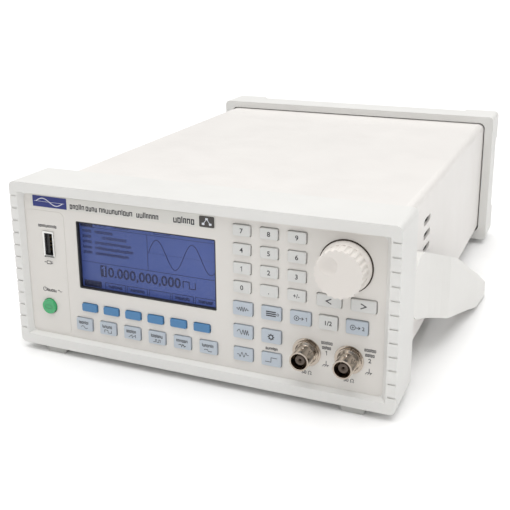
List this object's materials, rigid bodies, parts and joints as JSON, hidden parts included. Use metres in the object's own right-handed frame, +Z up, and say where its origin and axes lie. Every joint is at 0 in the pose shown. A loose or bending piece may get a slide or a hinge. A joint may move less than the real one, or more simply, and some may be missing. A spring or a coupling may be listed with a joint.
{
  "type": "function generator",
  "caption": "Bench function generator with a display, keypad, rotary knob and output sockets on the front, in a half-rack case with a folding bail handle.",
  "frame": {"origin": "on the surface it stands on, at the middle of the footprint of its bounding box", "axes": "+X to the right seen from the front, the front panel faces -Y, +Z up"},
  "size_m": [0.246, 0.315, 0.098],
  "materials": {
    "bezel_plastic": "fine moulded texture, warm white",
    "panel_plastic": "satin light grey",
    "window": "clear, slight blue",
    "display_glass": "backlit blue display",
    "silicone": "soft matt",
    "circuit_board": "solder mask",
    "nickel": "warm bright nickel",
    "zinc": "dull zinc",
    "insulator": "fluoroplastic",
    "supply_parts": "board and wound parts",
    "painted_case": "fine-textured warm white paint",
    "tray_steel": "same paint as the cover",
    "rear_paint": "light grey paint",
    "fan_plastic": "black",
    "black_plastic": "black, satin",
    "socket_metal": "plated shells",
    "foot_rubber": "grey, matt",
    "screw_steel": "zinc plated",
    "handle_plastic": "fine moulded texture, warm white",
    "knob_plastic": "satin off-white",
    "green_button": "translucent green",
    "white_key": "soft-touch white",
    "pale_key": "soft-touch pale blue grey",
    "soft_key": "soft-touch mid blue"
  },
  "bodies": {
    "case": {"front_bezel": "bezel_plastic", "front_panel": "panel_plastic", "display_window": "window", "lcd_module": "display_glass", "key_mat": "silicone", "keypad_board": "circuit_board", "usb_socket": "nickel", "encoder_body": "zinc", "bnc_sockets": "nickel", "socket_cores": "insulator", "main_board": "circuit_board", "power_supply": "supply_parts", "top_cover": "painted_case", "bottom_tray": "tray_steel", "rear_panel": "rear_paint", "rear_bezel": "bezel_plastic", "fan_frame": "fan_plastic", "mains_inlet": "black_plastic", "data_sockets": "socket_metal", "feet": "foot_rubber", "screws": "screw_steel"},
    "power_button": {"power_button": "green_button"},
    "knob": {"knob": "knob_plastic"},
    "handle": {"handle": "handle_plastic"},
    "fan_rotor": {"fan_rotor": "fan_plastic"},
    "soft_key_1": {"soft_key_1": "soft_key"},
    "soft_key_2": {"soft_key_2": "soft_key"},
    "soft_key_3": {"soft_key_3": "soft_key"},
    "soft_key_4": {"soft_key_4": "soft_key"},
    "soft_key_5": {"soft_key_5": "soft_key"},
    "soft_key_6": {"soft_key_6": "soft_key"},
    "key_sine": {"key_sine": "pale_key"},
    "key_square": {"key_square": "pale_key"},
    "key_ramp": {"key_ramp": "pale_key"},
    "key_pulse": {"key_pulse": "pale_key"},
    "key_noise": {"key_noise": "pale_key"},
    "key_arbitrary": {"key_arbitrary": "pale_key"},
    "key_7": {"key_7": "white_key"},
    "key_8": {"key_8": "white_key"},
    "key_9": {"key_9": "white_key"},
    "key_4": {"key_4": "white_key"},
    "key_5": {"key_5": "white_key"},
    "key_6": {"key_6": "white_key"},
    "key_1": {"key_1": "white_key"},
    "key_2": {"key_2": "white_key"},
    "key_3": {"key_3": "white_key"},
    "key_0": {"key_0": "white_key"},
    "key_point": {"key_point": "white_key"},
    "key_sign": {"key_sign": "white_key"},
    "key_modulation": {"key_modulation": "pale_key"},
    "key_stores": {"key_stores": "pale_key"},
    "key_sweep": {"key_sweep": "pale_key"},
    "key_utility": {"key_utility": "pale_key"},
    "key_burst": {"key_burst": "pale_key"},
    "key_trigger": {"key_trigger": "pale_key"},
    "key_output_1": {"key_output_1": "pale_key"},
    "key_channel": {"key_channel": "white_key"},
    "key_output_2": {"key_output_2": "pale_key"},
    "key_left": {"key_left": "white_key"},
    "key_right": {"key_right": "white_key"}
  },
  "joints": [
    {"name": "power_press", "type": "slide", "parent": "case", "child": "power_button", "axis": [0, 1, 0], "range_m": [0, 0.0022], "stiffness_N_per_m": 600},
    {"name": "knob_turn", "type": "hinge", "parent": "case", "child": "knob", "pos_m": [0.081, -0.1575, 0.0745], "axis": [0, -1, 0], "continuous": true},
    {"name": "handle_swing", "type": "hinge", "parent": "case", "child": "handle", "pos_m": [0, -0.0975, 0.051], "axis": [-1, 0, 0], "range_deg": [0, 69]},
    {"name": "fan_spin", "type": "hinge", "parent": "case", "child": "fan_rotor", "pos_m": [0.062, 0.1355, 0.065], "axis": [0, 1, 0], "continuous": true},
    {"name": "soft_key_1_press", "type": "slide", "parent": "case", "child": "soft_key_1", "axis": [0, 1, 0], "range_m": [0, 0.0008], "stiffness_N_per_m": 800},
    {"name": "soft_key_2_press", "type": "slide", "parent": "case", "child": "soft_key_2", "axis": [0, 1, 0], "range_m": [0, 0.0008], "stiffness_N_per_m": 800},
    {"name": "soft_key_3_press", "type": "slide", "parent": "case", "child": "soft_key_3", "axis": [0, 1, 0], "range_m": [0, 0.0008], "stiffness_N_per_m": 800},
    {"name": "soft_key_4_press", "type": "slide", "parent": "case", "child": "soft_key_4", "axis": [0, 1, 0], "range_m": [0, 0.0008], "stiffness_N_per_m": 800},
    {"name": "soft_key_5_press", "type": "slide", "parent": "case", "child": "soft_key_5", "axis": [0, 1, 0], "range_m": [0, 0.0008], "stiffness_N_per_m": 800},
    {"name": "soft_key_6_press", "type": "slide", "parent": "case", "child": "soft_key_6", "axis": [0, 1, 0], "range_m": [0, 0.0008], "stiffness_N_per_m": 800},
    {"name": "key_sine_press", "type": "slide", "parent": "case", "child": "key_sine", "axis": [0, 1, 0], "range_m": [0, 0.0008], "stiffness_N_per_m": 800},
    {"name": "key_square_press", "type": "slide", "parent": "case", "child": "key_square", "axis": [0, 1, 0], "range_m": [0, 0.0008], "stiffness_N_per_m": 800},
    {"name": "key_ramp_press", "type": "slide", "parent": "case", "child": "key_ramp", "axis": [0, 1, 0], "range_m": [0, 0.0008], "stiffness_N_per_m": 800},
    {"name": "key_pulse_press", "type": "slide", "parent": "case", "child": "key_pulse", "axis": [0, 1, 0], "range_m": [0, 0.0008], "stiffness_N_per_m": 800},
    {"name": "key_noise_press", "type": "slide", "parent": "case", "child": "key_noise", "axis": [0, 1, 0], "range_m": [0, 0.0008], "stiffness_N_per_m": 800},
    {"name": "key_arbitrary_press", "type": "slide", "parent": "case", "child": "key_arbitrary", "axis": [0, 1, 0], "range_m": [0, 0.0008], "stiffness_N_per_m": 800},
    {"name": "key_7_press", "type": "slide", "parent": "case", "child": "key_7", "axis": [0, 1, 0], "range_m": [0, 0.0008], "stiffness_N_per_m": 800},
    {"name": "key_8_press", "type": "slide", "parent": "case", "child": "key_8", "axis": [0, 1, 0], "range_m": [0, 0.0008], "stiffness_N_per_m": 800},
    {"name": "key_9_press", "type": "slide", "parent": "case", "child": "key_9", "axis": [0, 1, 0], "range_m": [0, 0.0008], "stiffness_N_per_m": 800},
    {"name": "key_4_press", "type": "slide", "parent": "case", "child": "key_4", "axis": [0, 1, 0], "range_m": [0, 0.0008], "stiffness_N_per_m": 800},
    {"name": "key_5_press", "type": "slide", "parent": "case", "child": "key_5", "axis": [0, 1, 0], "range_m": [0, 0.0008], "stiffness_N_per_m": 800},
    {"name": "key_6_press", "type": "slide", "parent": "case", "child": "key_6", "axis": [0, 1, 0], "range_m": [0, 0.0008], "stiffness_N_per_m": 800},
    {"name": "key_1_press", "type": "slide", "parent": "case", "child": "key_1", "axis": [0, 1, 0], "range_m": [0, 0.0008], "stiffness_N_per_m": 800},
    {"name": "key_2_press", "type": "slide", "parent": "case", "child": "key_2", "axis": [0, 1, 0], "range_m": [0, 0.0008], "stiffness_N_per_m": 800},
    {"name": "key_3_press", "type": "slide", "parent": "case", "child": "key_3", "axis": [0, 1, 0], "range_m": [0, 0.0008], "stiffness_N_per_m": 800},
    {"name": "key_0_press", "type": "slide", "parent": "case", "child": "key_0", "axis": [0, 1, 0], "range_m": [0, 0.0008], "stiffness_N_per_m": 800},
    {"name": "key_point_press", "type": "slide", "parent": "case", "child": "key_point", "axis": [0, 1, 0], "range_m": [0, 0.0008], "stiffness_N_per_m": 800},
    {"name": "key_sign_press", "type": "slide", "parent": "case", "child": "key_sign", "axis": [0, 1, 0], "range_m": [0, 0.0008], "stiffness_N_per_m": 800},
    {"name": "key_modulation_press", "type": "slide", "parent": "case", "child": "key_modulation", "axis": [0, 1, 0], "range_m": [0, 0.0008], "stiffness_N_per_m": 800},
    {"name": "key_stores_press", "type": "slide", "parent": "case", "child": "key_stores", "axis": [0, 1, 0], "range_m": [0, 0.0008], "stiffness_N_per_m": 800},
    {"name": "key_sweep_press", "type": "slide", "parent": "case", "child": "key_sweep", "axis": [0, 1, 0], "range_m": [0, 0.0008], "stiffness_N_per_m": 800},
    {"name": "key_utility_press", "type": "slide", "parent": "case", "child": "key_utility", "axis": [0, 1, 0], "range_m": [0, 0.0008], "stiffness_N_per_m": 800},
    {"name": "key_burst_press", "type": "slide", "parent": "case", "child": "key_burst", "axis": [0, 1, 0], "range_m": [0, 0.0008], "stiffness_N_per_m": 800},
    {"name": "key_trigger_press", "type": "slide", "parent": "case", "child": "key_trigger", "axis": [0, 1, 0], "range_m": [0, 0.0008], "stiffness_N_per_m": 800},
    {"name": "key_output_1_press", "type": "slide", "parent": "case", "child": "key_output_1", "axis": [0, 1, 0], "range_m": [0, 0.0008], "stiffness_N_per_m": 800},
    {"name": "key_channel_press", "type": "slide", "parent": "case", "child": "key_channel", "axis": [0, 1, 0], "range_m": [0, 0.0008], "stiffness_N_per_m": 800},
    {"name": "key_output_2_press", "type": "slide", "parent": "case", "child": "key_output_2", "axis": [0, 1, 0], "range_m": [0, 0.0008], "stiffness_N_per_m": 800},
    {"name": "key_left_press", "type": "slide", "parent": "case", "child": "key_left", "axis": [0, 1, 0], "range_m": [0, 0.0008], "stiffness_N_per_m": 800},
    {"name": "key_right_press", "type": "slide", "parent": "case", "child": "key_right", "axis": [0, 1, 0], "range_m": [0, 0.0008], "stiffness_N_per_m": 800}
  ]
}
